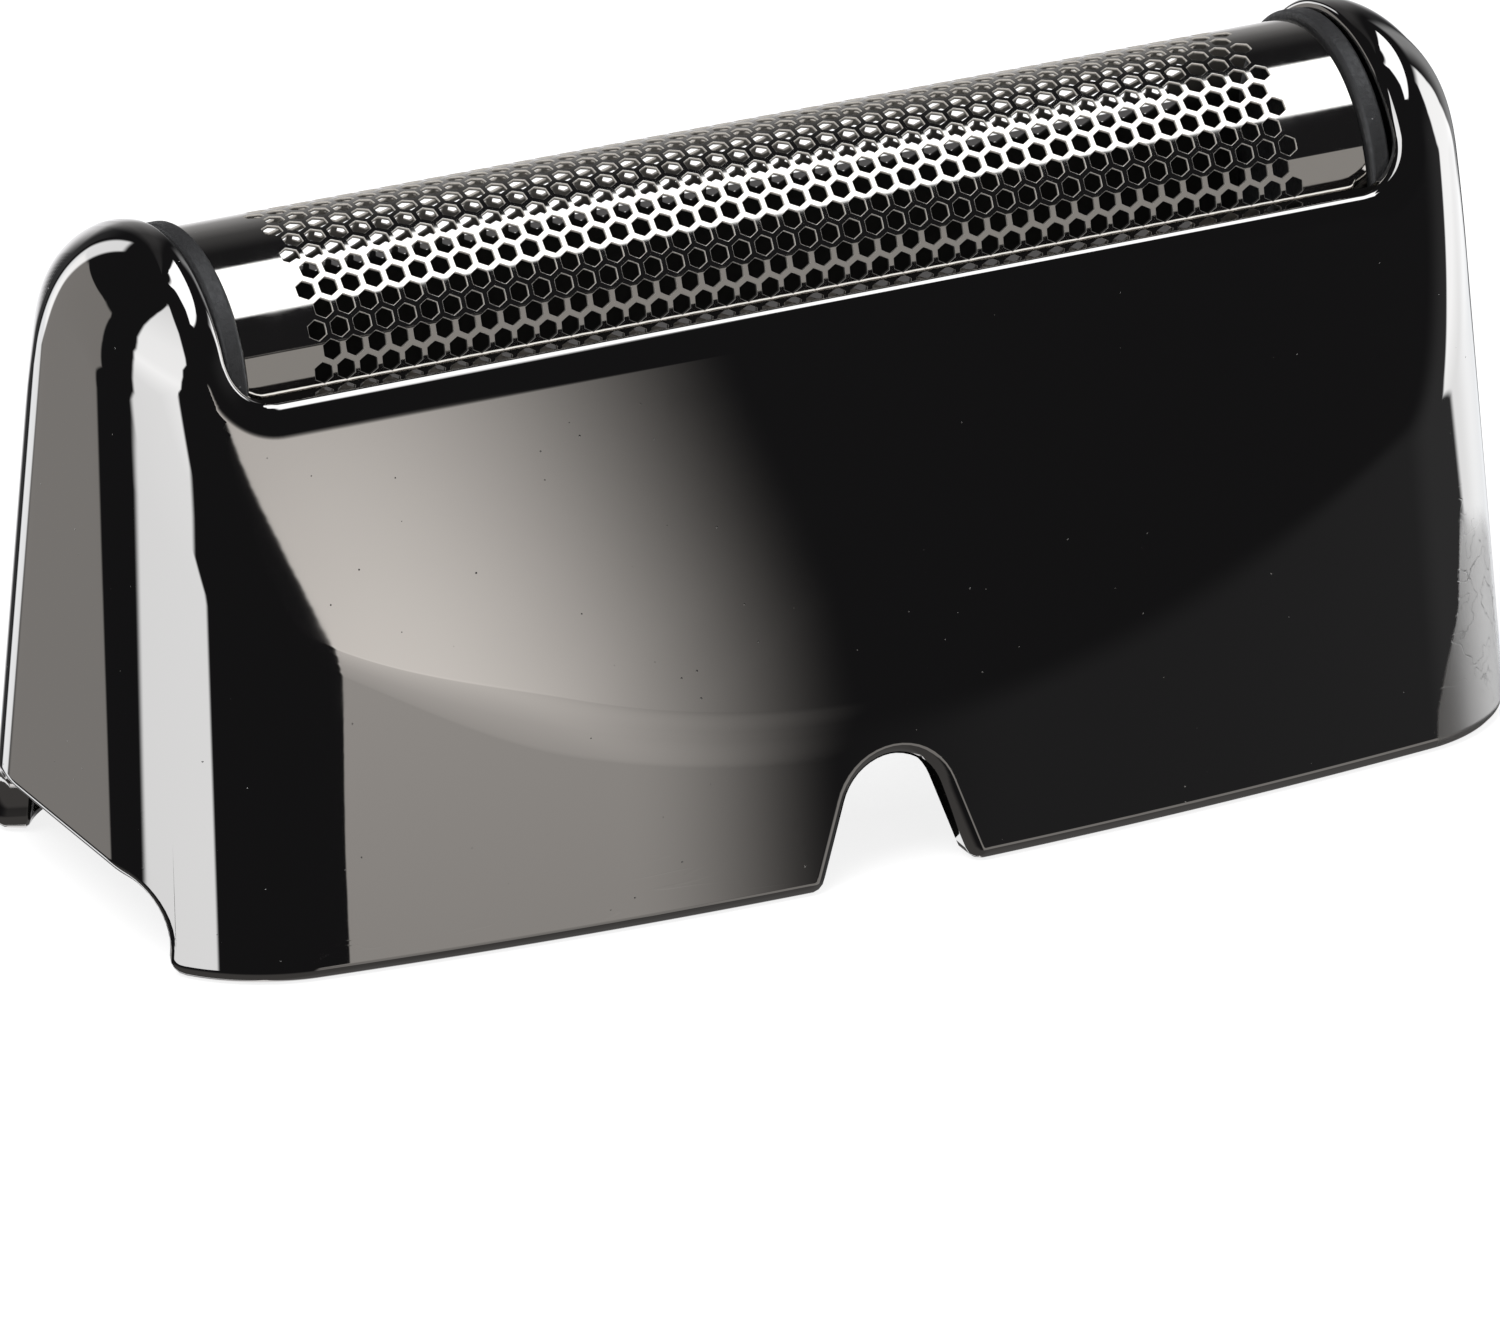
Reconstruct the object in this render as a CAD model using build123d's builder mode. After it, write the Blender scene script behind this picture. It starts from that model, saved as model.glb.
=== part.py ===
"""Foil head of a compact electric shaver: a plated hood, a perforated foil and its inner carrier.

Frame: X runs along the foil, -Y is the front, Z points up.
The origin is the middle of the base, on the plane that the head rests on.
"""
from build123d import *
from math import acos, atan, atan2, cos, degrees, hypot, radians, sin, sqrt, tan
import os

# Hood, outer form (millimetres and degrees)
base_length = 54.8
base_depth = 22.9
top_depth = 16.5
front_bow_radius = 184.0
corner_radius = 6.0
end_lean = 2.1
crease_height = 5.65
tower_arch_radius = 5.9
tower_arch_height = 19.1
crown_round = 3.7
base_bevel = 0.3
wall = 1.3
tower_roof = 3.0

# Saddle between the two towers, where the foil shows
tower_length = 4.35
rim_rise = 0.9
saddle_corner_radius = 1.75
rim_bevel = 0.5

# Cut-outs in the hood's lower edge
notch_width = 6.0
notch_height = 4.45
notch_round_radius = 2.0
end_cut_width = 14.0
end_cut_height = 2.9
end_cut_radius = 2.6

# Foil
foil_axis_drop = 0.45
foil_radius = 4.85
foil_thickness = 0.12
foil_skirt = 6.55
foil_end_band = 2.85
hole_pitch = 3.3
hole_bar = 0.7
hole_rows = 5

# Carrier inside the hood
cheek_thickness = 0.8
cheek_radius = 5.15
cheek_bevel = 0.15
rail_drop = 4.5
rail_height = 3.0
rail_thickness = 1.0
stake_count = 5
stake_width = 1.0
stake_head_width = 1.7
stake_head_thickness = 0.35

# Lugs on the carrier, and the ledges in the hood that they sit on
lug_width = 6.0
lug_length = 1.9
lug_height = 1.2
ledge_height = 1.2
ledge_overlap = 0.9

# Clearances
foil_clearance = 0.1
cheek_clearance = 0.1
stake_clearance = 0.05

# Places that follow from the sizes above
hood_height = tower_arch_height + tower_arch_radius
reach = base_length + base_depth
front_lean = degrees(atan((base_depth - top_depth) / 2 / hood_height))
crease_y = base_depth / 2 - crease_height * tan(radians(front_lean))
crease_drop = tower_arch_height - crease_height
upper_face_lean = degrees(acos(tower_arch_radius / hypot(crease_y, crease_drop)) - atan2(crease_drop, crease_y))
rim_height = tower_arch_height + rim_rise
saddle_length = base_length - 2 * tower_length
saddle_end = saddle_length / 2
cheek_outer = saddle_end - cheek_clearance
cheek_inner = cheek_outer - cheek_thickness
slot_inner = cheek_inner - cheek_clearance
slot_floor = rim_height - rail_drop
carrier_foot_height = slot_floor - rail_height
ledge_inner = cheek_outer + lug_length - ledge_overlap
ledge_outer = base_length / 2 - wall
foil_axis_height = rim_height - foil_axis_drop
foil_edge_height = foil_axis_height - foil_skirt
foil_length = 2 * (cheek_inner - foil_clearance)
row_angle = degrees(hole_pitch * sin(radians(60)) / foil_radius)
hole_columns = int((foil_length - 2 * foil_end_band) / hole_pitch)
stake_height = (foil_edge_height + slot_floor) / 2
stake_spacing = foil_length / stake_count


def end_profile(inset):
    """Side view of the hood: an arch at the top, and a leaning face tangent to it on each side."""
    lean = radians(upper_face_lean)
    radius = tower_arch_radius - inset
    shoulder_y = radius * cos(lean)
    shoulder_z = tower_arch_height + radius * sin(lean)
    foot_y = shoulder_y + (shoulder_z + wall) * tan(lean)
    with BuildSketch(Plane.YZ) as profile:
        with BuildLine():
            Line((-foot_y, -wall), (-shoulder_y, shoulder_z))
            ThreePointArc((-shoulder_y, shoulder_z), (0, tower_arch_height + radius), (shoulder_y, shoulder_z))
            Line((shoulder_y, shoulder_z), (foot_y, -wall))
            Line((foot_y, -wall), (-foot_y, -wall))
        make_face()
    return profile.sketch


def hood_body(inset, top):
    """Solid form of the hood up to a height, or of its cavity when inset by the wall.

    A quarter of the plan, with its bowed side and round corner, runs up along the line in which
    both of its walls lean. The quarter is mirrored twice and cut by the arched side view.
    """
    end_slope = tan(radians(end_lean))
    front_slope = tan(radians(front_lean))
    section = Plane((0, 0, 0), x_dir=(1, 0, end_slope), z_dir=(-end_slope, -front_slope, 1))
    half_length = base_length / 2 * section.x_dir.X - inset
    half_depth = base_depth / 2 * section.y_dir.Y - inset
    bow_radius = front_bow_radius - inset
    # The middle of the bow is moved so that the two halves of a side meet without a crease
    bow_middle = -bow_radius * end_slope * front_slope

    def bow(x):
        return half_depth - bow_radius + sqrt(bow_radius**2 - (x - bow_middle)**2)

    with BuildPart() as body:
        with BuildSketch(section) as plan:
            with BuildLine():
                ThreePointArc((-wall, bow(-wall)), (half_length / 2, bow(half_length / 2)),
                              (half_length, bow(half_length)))
                Polyline((half_length, bow(half_length)), (half_length, -wall), (-wall, -wall), (-wall, bow(-wall)))
            make_face()
            fillet(plan.vertices().sort_by(lambda corner: corner.X + corner.Y)[-1], corner_radius - inset)
        extrude(amount=reach, both=True)
        Box(reach, reach, top, align=(Align.MIN, Align.MIN, Align.MIN), mode=Mode.INTERSECT)
        mirror(about=Plane.XZ)
        mirror(about=Plane.YZ)
        extrude(end_profile(inset), amount=reach, both=True, mode=Mode.INTERSECT)
    return body.part


def arch_outline(radius, foot_height):
    """End view of the foil's form, drawn flat: a half round about the foil axis on straight legs."""
    with BuildSketch() as outline:
        with Locations((0, foil_axis_height)):
            Circle(radius)
            Rectangle(2 * radius, foil_axis_height - foot_height, align=(Align.CENTER, Align.MAX))
    return outline.sketch


def foil_tangent_plane(angle):
    """Plane that touches the foil at an angle from its top line."""
    lean = radians(angle)
    outward = Vector(0, sin(lean), cos(lean))
    return Plane(Vector(0, 0, foil_axis_height) + outward * foil_radius, x_dir=(1, 0, 0), z_dir=outward)


with BuildPart() as outer_frame:
    # Outer form: the loop over each tower, down the corners and along both faces is rounded
    add(hood_body(0, hood_height))
    crown = outer_frame.faces().sort_by(Axis.Z)[-3:]
    fillet(crown.edges().filter_by(GeomType.LINE, reverse=True), crown_round)
    chamfer(outer_frame.faces().sort_by(Axis.Z)[0].edges(), base_bevel)
    # Saddle, open above the rim, with its outer edge bevelled all the way round
    with BuildSketch(Plane.XZ) as saddle:
        with Locations((0, rim_height)):
            Rectangle(saddle_length, hood_height, align=(Align.CENTER, Align.MIN))
        fillet(saddle.vertices().group_by(Axis.Z)[0], saddle_corner_radius)
    extrude(amount=reach, both=True, mode=Mode.SUBTRACT)
    chamfer(outer_frame.faces(Select.LAST).edges().filter_by(Axis.Y, reverse=True), rim_bevel)
    # Cavity, and the ledges across its ends that carry the lugs
    add(hood_body(wall, hood_height - tower_roof), mode=Mode.SUBTRACT)
    with BuildSketch(Plane.XY.offset(carrier_foot_height)):
        with GridLocations(ledge_inner + ledge_outer, 1, 2, 1):
            Rectangle(ledge_outer - ledge_inner, lug_width)
    extrude(amount=-ledge_height)
    # Opening in the rim for the foil, widened at each end for the cheek
    with BuildSketch(Plane.XY.offset(slot_floor)):
        Rectangle(saddle_length, 2 * (foil_radius + foil_clearance))
        with GridLocations(slot_inner + saddle_end, 1, 2, 1):
            Rectangle(saddle_end - slot_inner, 2 * (cheek_radius + cheek_clearance))
    extrude(amount=hood_height, mode=Mode.SUBTRACT)
    # Notch in the front wall: a round top with straight sides that flare to the foot
    with BuildSketch(Plane.XZ):
        with Locations((0, notch_height - notch_round_radius)):
            Circle(notch_round_radius)
        Rectangle(notch_width, wall, align=(Align.CENTER, Align.MAX))
        make_hull()
    extrude(amount=reach, mode=Mode.SUBTRACT)
    # Cut-out in the lower edge of both ends
    with BuildSketch(Plane.YZ) as end_cut:
        Rectangle(end_cut_width, 2 * end_cut_height)
        fillet(end_cut.vertices(), end_cut_radius)
    extrude(amount=reach, both=True, mode=Mode.SUBTRACT)
outer_frame.part.label = "outer_frame"

with BuildPart() as foil:
    with BuildSketch(Plane.YZ):
        add(arch_outline(foil_radius, foil_edge_height))
        add(arch_outline(foil_radius - foil_thickness, foil_edge_height), mode=Mode.SUBTRACT)
    extrude(amount=foil_length / 2, both=True)
    # Rows of six-sided holes, staggered by half a pitch from row to row
    for row in range(hole_rows):
        rows_from_top = row - (hole_rows - 1) / 2
        with BuildSketch(foil_tangent_plane(rows_from_top * row_angle)):
            with GridLocations(hole_pitch, 1, hole_columns + row % 2, 1):
                RegularPolygon((hole_pitch - hole_bar) / 2, 6, major_radius=False, rotation=30)
        extrude(amount=foil_radius / 2, both=True, mode=Mode.SUBTRACT)
    # Slots through both skirts for the stakes
    with BuildSketch(Plane.XZ):
        with Locations((0, stake_height)):
            with GridLocations(stake_spacing, 1, stake_count, 1):
                Rectangle(stake_width + 2 * stake_clearance, stake_width + 2 * stake_clearance)
    extrude(amount=reach, both=True, mode=Mode.SUBTRACT)
foil.part.label = "foil"

with BuildPart() as foil_carrier:
    # Rail along the front, the stakes that hold the foil and their flattened heads
    with BuildSketch(Plane.XY.offset(carrier_foot_height)):
        with Locations((0, -foil_radius)):
            Rectangle(2 * cheek_outer, rail_thickness, align=(Align.CENTER, Align.MAX))
    extrude(amount=rail_height)
    with BuildSketch(Plane.XZ.offset(foil_radius)):
        with Locations((0, stake_height)):
            with GridLocations(stake_spacing, 1, stake_count, 1):
                Rectangle(stake_width, stake_width)
    extrude(amount=-foil_thickness)
    with BuildSketch(Plane.XZ.offset(foil_radius - foil_thickness)):
        with Locations((0, stake_height)):
            with GridLocations(stake_spacing, 1, stake_count, 1):
                Rectangle(stake_head_width, stake_head_width)
    extrude(amount=-stake_head_thickness)
    # The same along the back
    mirror(about=Plane.XZ)
    # Cheek across each end, its arched edges bevelled, and the lug behind it
    with BuildSketch(Plane.YZ.offset(cheek_inner), Plane.YZ.offset(-cheek_outer)):
        add(arch_outline(cheek_radius, carrier_foot_height))
    extrude(amount=cheek_thickness)
    chamfer(foil_carrier.edges().filter_by(GeomType.CIRCLE), cheek_bevel)
    with BuildSketch(Plane.XY.offset(carrier_foot_height)):
        with GridLocations(2 * cheek_outer + lug_length, 1, 2, 1):
            Rectangle(lug_length, lug_width)
    extrude(amount=lug_height)
foil_carrier.part.label = "foil_carrier"

os.makedirs("parts", exist_ok=True)
for piece in (outer_frame, foil, foil_carrier):
    export_step(piece.part, f"parts/{piece.part.label}.step")
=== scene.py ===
"""Foil head of a compact electric shaver: a plated hood, a perforated foil and a black foil carrier.

The surfaces are worked out with numpy in millimetres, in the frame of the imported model: X runs along the
foil, -Y is the front and Z points up. They go into the meshes in metres.
"""

import bpy
import numpy as np
from bpy.props import FloatProperty, FloatVectorProperty, IntProperty, PointerProperty
from bpy.types import Operator, Panel, PropertyGroup
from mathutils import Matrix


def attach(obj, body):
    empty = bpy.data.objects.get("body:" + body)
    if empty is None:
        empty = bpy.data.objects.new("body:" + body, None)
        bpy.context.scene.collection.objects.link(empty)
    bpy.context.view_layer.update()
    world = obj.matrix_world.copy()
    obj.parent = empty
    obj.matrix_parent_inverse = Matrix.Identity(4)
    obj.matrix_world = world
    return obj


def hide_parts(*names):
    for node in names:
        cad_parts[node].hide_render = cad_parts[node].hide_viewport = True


bl_info = {
    "name": "Shaver Foil Head",
    "version": (1, 0, 0),
    "blender": (4, 5, 0),
    "location": "View3D > Sidebar > Foil Head",
    "description": "Builds the hood, the foil and the carrier of a shaver's foil head on its packed model",
    "category": "Object",
}

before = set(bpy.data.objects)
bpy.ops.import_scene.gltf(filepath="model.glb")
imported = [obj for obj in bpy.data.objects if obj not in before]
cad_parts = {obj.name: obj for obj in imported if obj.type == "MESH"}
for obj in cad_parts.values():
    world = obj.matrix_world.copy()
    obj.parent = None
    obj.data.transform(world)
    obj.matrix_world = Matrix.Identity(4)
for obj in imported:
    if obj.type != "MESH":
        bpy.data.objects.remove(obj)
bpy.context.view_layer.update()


def length(name, default, description):
    """Length in metres for a settings group."""
    return FloatProperty(
        name=name, description=description, default=default, min=0.0, precision=5, unit="LENGTH")


def angle(name, degrees, description):
    """Angle for a settings group, given in degrees and kept in radians."""
    return FloatProperty(name=name, description=description, default=np.radians(degrees), subtype="ANGLE")


def colour(name, default, description):
    """Linear colour for a settings group."""
    return FloatVectorProperty(
        name=name, description=description, default=default, min=0.0, max=1.0, subtype="COLOR")


def share(name, default, description):
    """Number from 0 to 1 for a settings group."""
    return FloatProperty(
        name=name, description=description, default=default, min=0.0, max=1.0, subtype="FACTOR")


class HoodSettings(PropertyGroup):
    """Sizes and finish of the plated hood."""

    base_length: length("Base length", 0.0548, "Length of the lower edge along the foil")
    base_depth: length("Base depth", 0.0229, "Depth of the lower edge from front to back")
    bow_radius: length("Bow radius", 0.184, "Radius of the bowed front and back in plan")
    corner_radius: length("Corner radius", 0.006, "Radius of the upright corners")
    side_lean: angle("Side lean", 7.294, "Lean of the front and back below the crease")
    end_lean: angle("End lean", 2.1, "Lean of the two ends")
    face_lean: angle("Face lean", 18.517, "Lean of the flat face above the crease")
    arch_radius: length("Arch radius", 0.0059, "Radius of the arch over each tower")
    arch_height: length("Arch height", 0.01915, "Height of the middle of that arch")
    crown_round: length("Crown round", 0.0037, "Radius of the round between walls and arch on the towers")
    crease_round: length("Crease round", 0.010, "Radius of the same round along the middle of the crease")
    rim_height: length("Rim height", 0.020, "Height of the rim that the foil stands in")
    saddle_length: length("Saddle length", 0.0461, "Distance between the two towers")
    saddle_corner: length("Saddle corner", 0.00175, "Radius in the corners between rim and towers")
    wall: length("Wall", 0.0013, "Thickness of the moulded wall")
    edge_round: length("Edge round", 0.0005, "Radius of the rounded lower edge")
    notch_half_width: length("Notch half width", 0.003, "Half the notch's width at its foot")
    notch_height: length("Notch height", 0.00445, "Height of the notch in the front")
    notch_round: length("Notch round", 0.002, "Radius of the top of the notch")
    end_cut_half_width: length("End cut half width", 0.007, "Half the width of the cut-out in each end")
    end_cut_height: length("End cut height", 0.0029, "Height of the cut-out in each end")
    plating: colour("Plating", (0.60, 0.578, 0.556), "Colour that the plating gives to what it mirrors")
    gloss_loss: share("Gloss loss", 0.008, "Roughness of clean plating")


class FoilSettings(PropertyGroup):
    """Sizes and finish of the perforated foil."""

    radius: length("Radius", 0.00485, "Outer radius of the half round")
    axis_height: length("Axis height", 0.01955, "Height of the middle of the half round")
    foil_length: length("Length", 0.0441, "Length of the foil between the cheeks")
    skirt: length("Skirt", 0.00655, "Length of the straight skirts below the half round")
    thickness: length("Thickness", 0.00012, "Thickness of the sheet")
    hole_pitch: length("Hole pitch", 0.00087, "Distance between neighbouring holes in a row")
    hole_width: length("Hole width", 0.00067, "Width of a hole from flat to flat")
    hole_bevel: length("Hole bevel", 0.000015, "Width of the rounded edge round a hole")
    row_angle: angle("Row angle", 8.837, "Angle between neighbouring rows of holes")
    rows: IntProperty(name="Rows", description="Number of rows of holes", default=19, min=1)
    columns: IntProperty(name="Columns", description="Number of holes in the longer rows", default=45, min=1)
    metal: colour("Metal", (0.83, 0.80, 0.755), "Colour of the electroformed metal")
    gloss_loss: share("Gloss loss", 0.05, "Roughness of the metal")


class CarrierSettings(PropertyGroup):
    """Sizes and finish of the black carrier inside the hood."""

    cheek_radius: length("Cheek radius", 0.00515, "Radius of the cheek that shows as a ridge beside the foil")
    cheek_inner: length("Cheek inner face", 0.02215, "Distance of the cheek's inner face from the middle")
    cheek_thickness: length("Cheek thickness", 0.0008, "Thickness of each cheek")
    foot_height: length("Foot height", 0.0125, "Height of the carrier's lower edge")
    rail_height: length("Rail height", 0.003, "Height of the two long rails")
    rail_thickness: length("Rail thickness", 0.001, "Thickness of the two long rails")
    stakes: IntProperty(name="Stakes", description="Number of stakes along each rail", default=5, min=1)
    stake_radius: length("Stake radius", 0.0005, "Radius of a stake")
    head_radius: length("Head radius", 0.00085, "Radius of a stake's flattened head")
    head_height: length("Head height", 0.00035, "Height of a stake's flattened head")
    lug_width: length("Lug width", 0.006, "Width of the lug behind each cheek")
    lug_length: length("Lug length", 0.0019, "Length of that lug")
    lug_height: length("Lug height", 0.0012, "Height of that lug")
    edge_round: length("Edge round", 0.00018, "Radius of the moulded edges")
    plastic: colour("Plastic", (0.020, 0.020, 0.021), "Colour of the black moulding")
    gloss_loss: share("Gloss loss", 0.46, "Roughness of the black moulding")


class StageSettings(PropertyGroup):
    """Floor, light and camera."""

    floor_colour: colour("Floor", (0.92, 0.92, 0.92), "Colour of the pale floor")
    floor_radius: length("Floor radius", 0.5, "Radius of the floor")
    fill: FloatProperty(
        name="Fill", description="Even light from all round on matt surfaces", default=0.55, min=0.0)
    key_power: FloatProperty(
        name="Key power", description="Power of the large lamp", default=5.0, min=0.0, unit="POWER")
    panel_light: FloatProperty(
        name="Panel light", description="Brightness of the white panels", default=1.5, min=0.0)
    camera_place: FloatVectorProperty(
        name="Camera place", description="Where the camera stands",
        default=(-0.296787, -0.580281, 0.278370), precision=5, subtype="TRANSLATION")
    camera_turn: FloatVectorProperty(
        name="Camera turn", description="How the camera is turned",
        default=(1.172540, 0.001874, -0.473366), precision=5, subtype="EULER")
    focal_length: FloatProperty(
        name="Focal length", description="Focal length in millimetres", default=476.97)


def mm(metres):
    """Metres as millimetres."""
    return 1000.0 * metres


def unit(vectors):
    """Vectors scaled to length one."""
    return vectors / np.linalg.norm(vectors, axis=-1, keepdims=True)


def dot(a, b):
    """Scalar product along the last axis."""
    return np.sum(a * b, axis=-1)


def ease(start, end, value):
    """Smooth step: 3t^2 - 2t^3, where t is the share of the way from start to end."""
    t = np.clip((value - start) / (end - start), 0.0, 1.0)
    return t * t * (3.0 - 2.0 * t)


def sign(values):
    """-1 for negative numbers and 1 for the rest."""
    return np.where(values < 0, -1.0, 1.0)


def rounded_join(a, normal_a, b, normal_b, radius, shaded_b=None):
    """Two distance fields joined by a round.

    With the fields moved in by the radius, c the cosine between their normals, and both weights a - cb and
    b - ca above zero, the field is sqrt((a^2 + b^2 - 2cab) / (1 - c^2)) less the radius: the distance to
    the axis of a rolled ball. Elsewhere the larger field counts. The second field may be shaded with other
    normals than its own.
    """
    c = np.clip(dot(normal_a, normal_b), -0.9999, 0.9999)
    a_in, b_in = a + radius, b + radius
    weight_a = np.maximum(a_in - c * b_in, 0.0)
    weight_b = np.maximum(b_in - c * a_in, 0.0)
    both = (weight_a > 0) & (weight_b > 0)
    square = np.maximum(a_in * a_in + b_in * b_in - 2.0 * c * a_in * b_in, 1e-12)
    field = np.where(both, np.sqrt(square / (1.0 - c * c)) - radius, np.maximum(a, b))
    shaded_b = normal_b if shaded_b is None else shaded_b
    larger = np.where((a > b)[..., None], normal_a, shaded_b)
    rolled = weight_a[..., None] * normal_a + weight_b[..., None] * shaded_b
    return field, unit(np.where(both[..., None], rolled, larger))


def settle(points, field, along=None, rounds=14):
    """Points moved onto a field's zero surface, along its normal or along given directions."""
    for _ in range(rounds):
        value, normal = field(points)
        if along is None:
            points = points - value[..., None] * normal
        else:
            slope = dot(normal, along)
            slope = sign(slope) * np.maximum(np.abs(slope), 0.15)
            points = points - np.clip(value / slope, -1.5, 1.5)[..., None] * along
    return points, field(points)[1]


def cast(points, field, rays, rounds=60):
    """Points moved from the inside along rays until they meet a field's zero surface, each time by the
    distance that is left."""
    for _ in range(rounds):
        points = points - field(points)[0][..., None] * rays
    return points, field(points)[1]


def rounded_path(corners, radii):
    """Open polyline in a plane whose inner corners are replaced by arcs of the given radii."""
    corners = np.asarray(corners, float)
    runs = [corners[:1]]
    for before, corner, after, radius in zip(corners[:-2], corners[1:-1], corners[2:], radii):
        u, w = unit(before - corner), unit(after - corner)
        half = np.arccos(np.clip(u @ w, -1.0, 1.0)) / 2.0
        centre = corner + unit(u + w) * radius / np.sin(half)
        start, end = corner + u * radius / np.tan(half) - centre, corner + w * radius / np.tan(half) - centre
        first = np.arctan2(start[1], start[0])
        turn = np.angle(np.exp(1j * (np.arctan2(end[1], end[0]) - first)))
        angles = first + turn * np.linspace(0.0, 1.0, 24)
        runs.append(centre + radius * np.stack([np.cos(angles), np.sin(angles)], -1))
    runs.append(corners[-1:])
    return np.vstack(runs)


def run_lengths(points):
    """Length along a polyline up to each of its points."""
    return np.concatenate([[0.0], np.cumsum(np.linalg.norm(np.diff(points, axis=0), axis=1))])


def at_lengths(points, lengths):
    """Points of a polyline at the given lengths along it."""
    along = run_lengths(points)
    return np.stack([np.interp(lengths, along, points[:, k]) for k in range(points.shape[1])], -1)


def evenly(points, count):
    """A number of points spaced evenly along a polyline."""
    return at_lengths(points, np.linspace(0.0, run_lengths(points)[-1], count))


class HoodForm:
    """Outer and inner surface of the hood as distance fields with normals, and a closed grid on them."""

    # Points along each stretch of a quarter's lower contour
    notch_steps, side_steps, corner_steps, end_steps = 24, 60, 48, 34
    # Place in plan that the corner's rays start from, and how far they turn
    corner_x, corner_y, corner_turn = 21.4, 4.25, np.radians(51.0)
    # Bow that the faces are shaded with, and the stretch along X in which the crease's round narrows
    face_bow, crease_narrows = 400.0, (12.0, 21.0)
    # Lip: shares of the outside and the saddle in its facet, the facet's depth and the rounds beside it
    lip_shares, lip_depth, lip_rounds = (0.82, 0.38), 0.197, (2.7, 0.3)

    def __init__(self, settings):
        self.half_length = mm(settings.base_length) / 2
        self.half_depth = mm(settings.base_depth) / 2
        self.bow = mm(settings.bow_radius)
        self.corner = mm(settings.corner_radius)
        self.end_slope = np.tan(settings.end_lean)
        self.side_slope = np.tan(settings.side_lean)
        self.face_lean = settings.face_lean
        self.arch_radius = mm(settings.arch_radius)
        self.arch_height = mm(settings.arch_height)
        self.crown = mm(settings.crown_round)
        self.crease = mm(settings.crease_round)
        self.rim_height = mm(settings.rim_height)
        self.saddle_half = mm(settings.saddle_length) / 2
        self.saddle_corner = mm(settings.saddle_corner)
        self.wall = mm(settings.wall)
        self.edge = mm(settings.edge_round)
        self.notch_half = mm(settings.notch_half_width)
        self.notch_height = mm(settings.notch_height)
        self.notch_round = mm(settings.notch_round)
        self.cut_half = mm(settings.end_cut_half_width)
        self.cut_height = mm(settings.end_cut_height)

    def walls(self, p):
        """Leaning end walls and bowed side walls: |x| + z tan(end lean) - L, and the distance of
        (x, |y| + z tan(side lean)) from the bow's circle, joined by the corner radius."""
        x, y, z = p[..., 0], p[..., 1], p[..., 2]
        zero = np.zeros_like(x)
        k = np.hypot(1.0, self.end_slope)
        end = (np.abs(x) - self.half_length + z * self.end_slope) / k
        end_normal = np.stack([sign(x) / k, zero, zero + self.end_slope / k], -1)
        reach = np.abs(y) + z * self.side_slope - self.half_depth + self.bow
        rho = np.hypot(x, reach)
        slope = np.stack([x / rho, sign(y) * reach / rho, self.side_slope * reach / rho], -1)
        size = np.linalg.norm(slope, axis=-1)
        return rounded_join(end, end_normal, (rho - self.bow) / size, slope / size[..., None], self.corner)

    def roof(self, p):
        """Arch over the length with a leaning face tangent to it on each side."""
        x, y, z = p[..., 0], p[..., 1], p[..., 2] - self.arch_height
        cosine, sine = np.cos(self.face_lean), np.sin(self.face_lean)
        rho = np.maximum(np.hypot(y, z), 1e-6)
        arch = z * cosine > np.abs(y) * sine
        field = np.where(arch, rho - self.arch_radius, np.abs(y) * cosine + z * sine - self.arch_radius)
        side = np.where(arch, y / rho, sign(y) * cosine)
        up = np.where(arch, z / rho, sine)
        return field, np.stack([np.zeros_like(x), side, up], -1)

    def bowed(self, p, normal):
        """The roof's normals, turned outwards a little along the length as those of a faintly bowed face are.
        The turn fades out over the towers' arches."""
        over = np.arctan2(p[..., 2] - self.arch_height, np.maximum(np.abs(p[..., 1]), 1e-6)) - self.face_lean
        turn = p[..., 0] / self.face_bow * (1.0 - ease(0.0, 1.1, over))
        return unit(normal + turn[..., None] * np.array([1.0, 0.0, 0.0]))

    def outside(self, p):
        """Walls and roof joined by a round that is small at the corners and wide along the crease."""
        walls, wall_normal = self.walls(p)
        roof, roof_normal = self.roof(p)
        shaded = self.bowed(p, roof_normal)
        return rounded_join(walls, wall_normal, roof, roof_normal, self.crease_radius(p), shaded)

    def crease_radius(self, p):
        """Radius of the round between walls and roof, by the distance from the middle."""
        return self.crease + (self.crown - self.crease) * ease(*self.crease_narrows, np.abs(p[..., 0]))

    def saddle(self, p):
        """Trough between the towers: the rim's level below, the towers' inner faces at the sides, and a
        round of the saddle's corner radius between them."""
        x, z = p[..., 0], p[..., 2]
        up, inward = z - self.rim_height, self.saddle_half - np.abs(x)
        deep, near = self.saddle_corner - up, self.saddle_corner - inward
        corner = (deep > 0) & (near > 0)
        h = np.maximum(np.hypot(deep, near), 1e-6)
        floor = up < inward
        field = np.where(corner, self.saddle_corner - h, np.where(floor, up, inward))
        rise = np.where(corner, deep / h, np.where(floor, 1.0, 0.0))
        side = np.where(corner, near / h, np.where(floor, 0.0, 1.0))
        return field, np.stack([-sign(x) * side, np.zeros_like(x), rise], -1)

    def lip(self, p):
        """Outside and saddle joined by a slanting facet with a wide round to the outside and a tight one
        to the saddle."""
        outside, n_out = self.outside(p)
        saddle, n_sad = self.saddle(p)
        of_outside, of_saddle = self.lip_shares
        slant = of_outside * n_out + of_saddle * n_sad
        size = np.linalg.norm(slant, axis=-1)
        facet = (of_outside * outside + of_saddle * saddle + self.lip_depth) / size
        wide, tight = self.lip_rounds
        body, n_body = rounded_join(outside, n_out, facet, slant / size[..., None], wide)
        return rounded_join(body, n_body, saddle, n_sad, tight)

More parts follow.
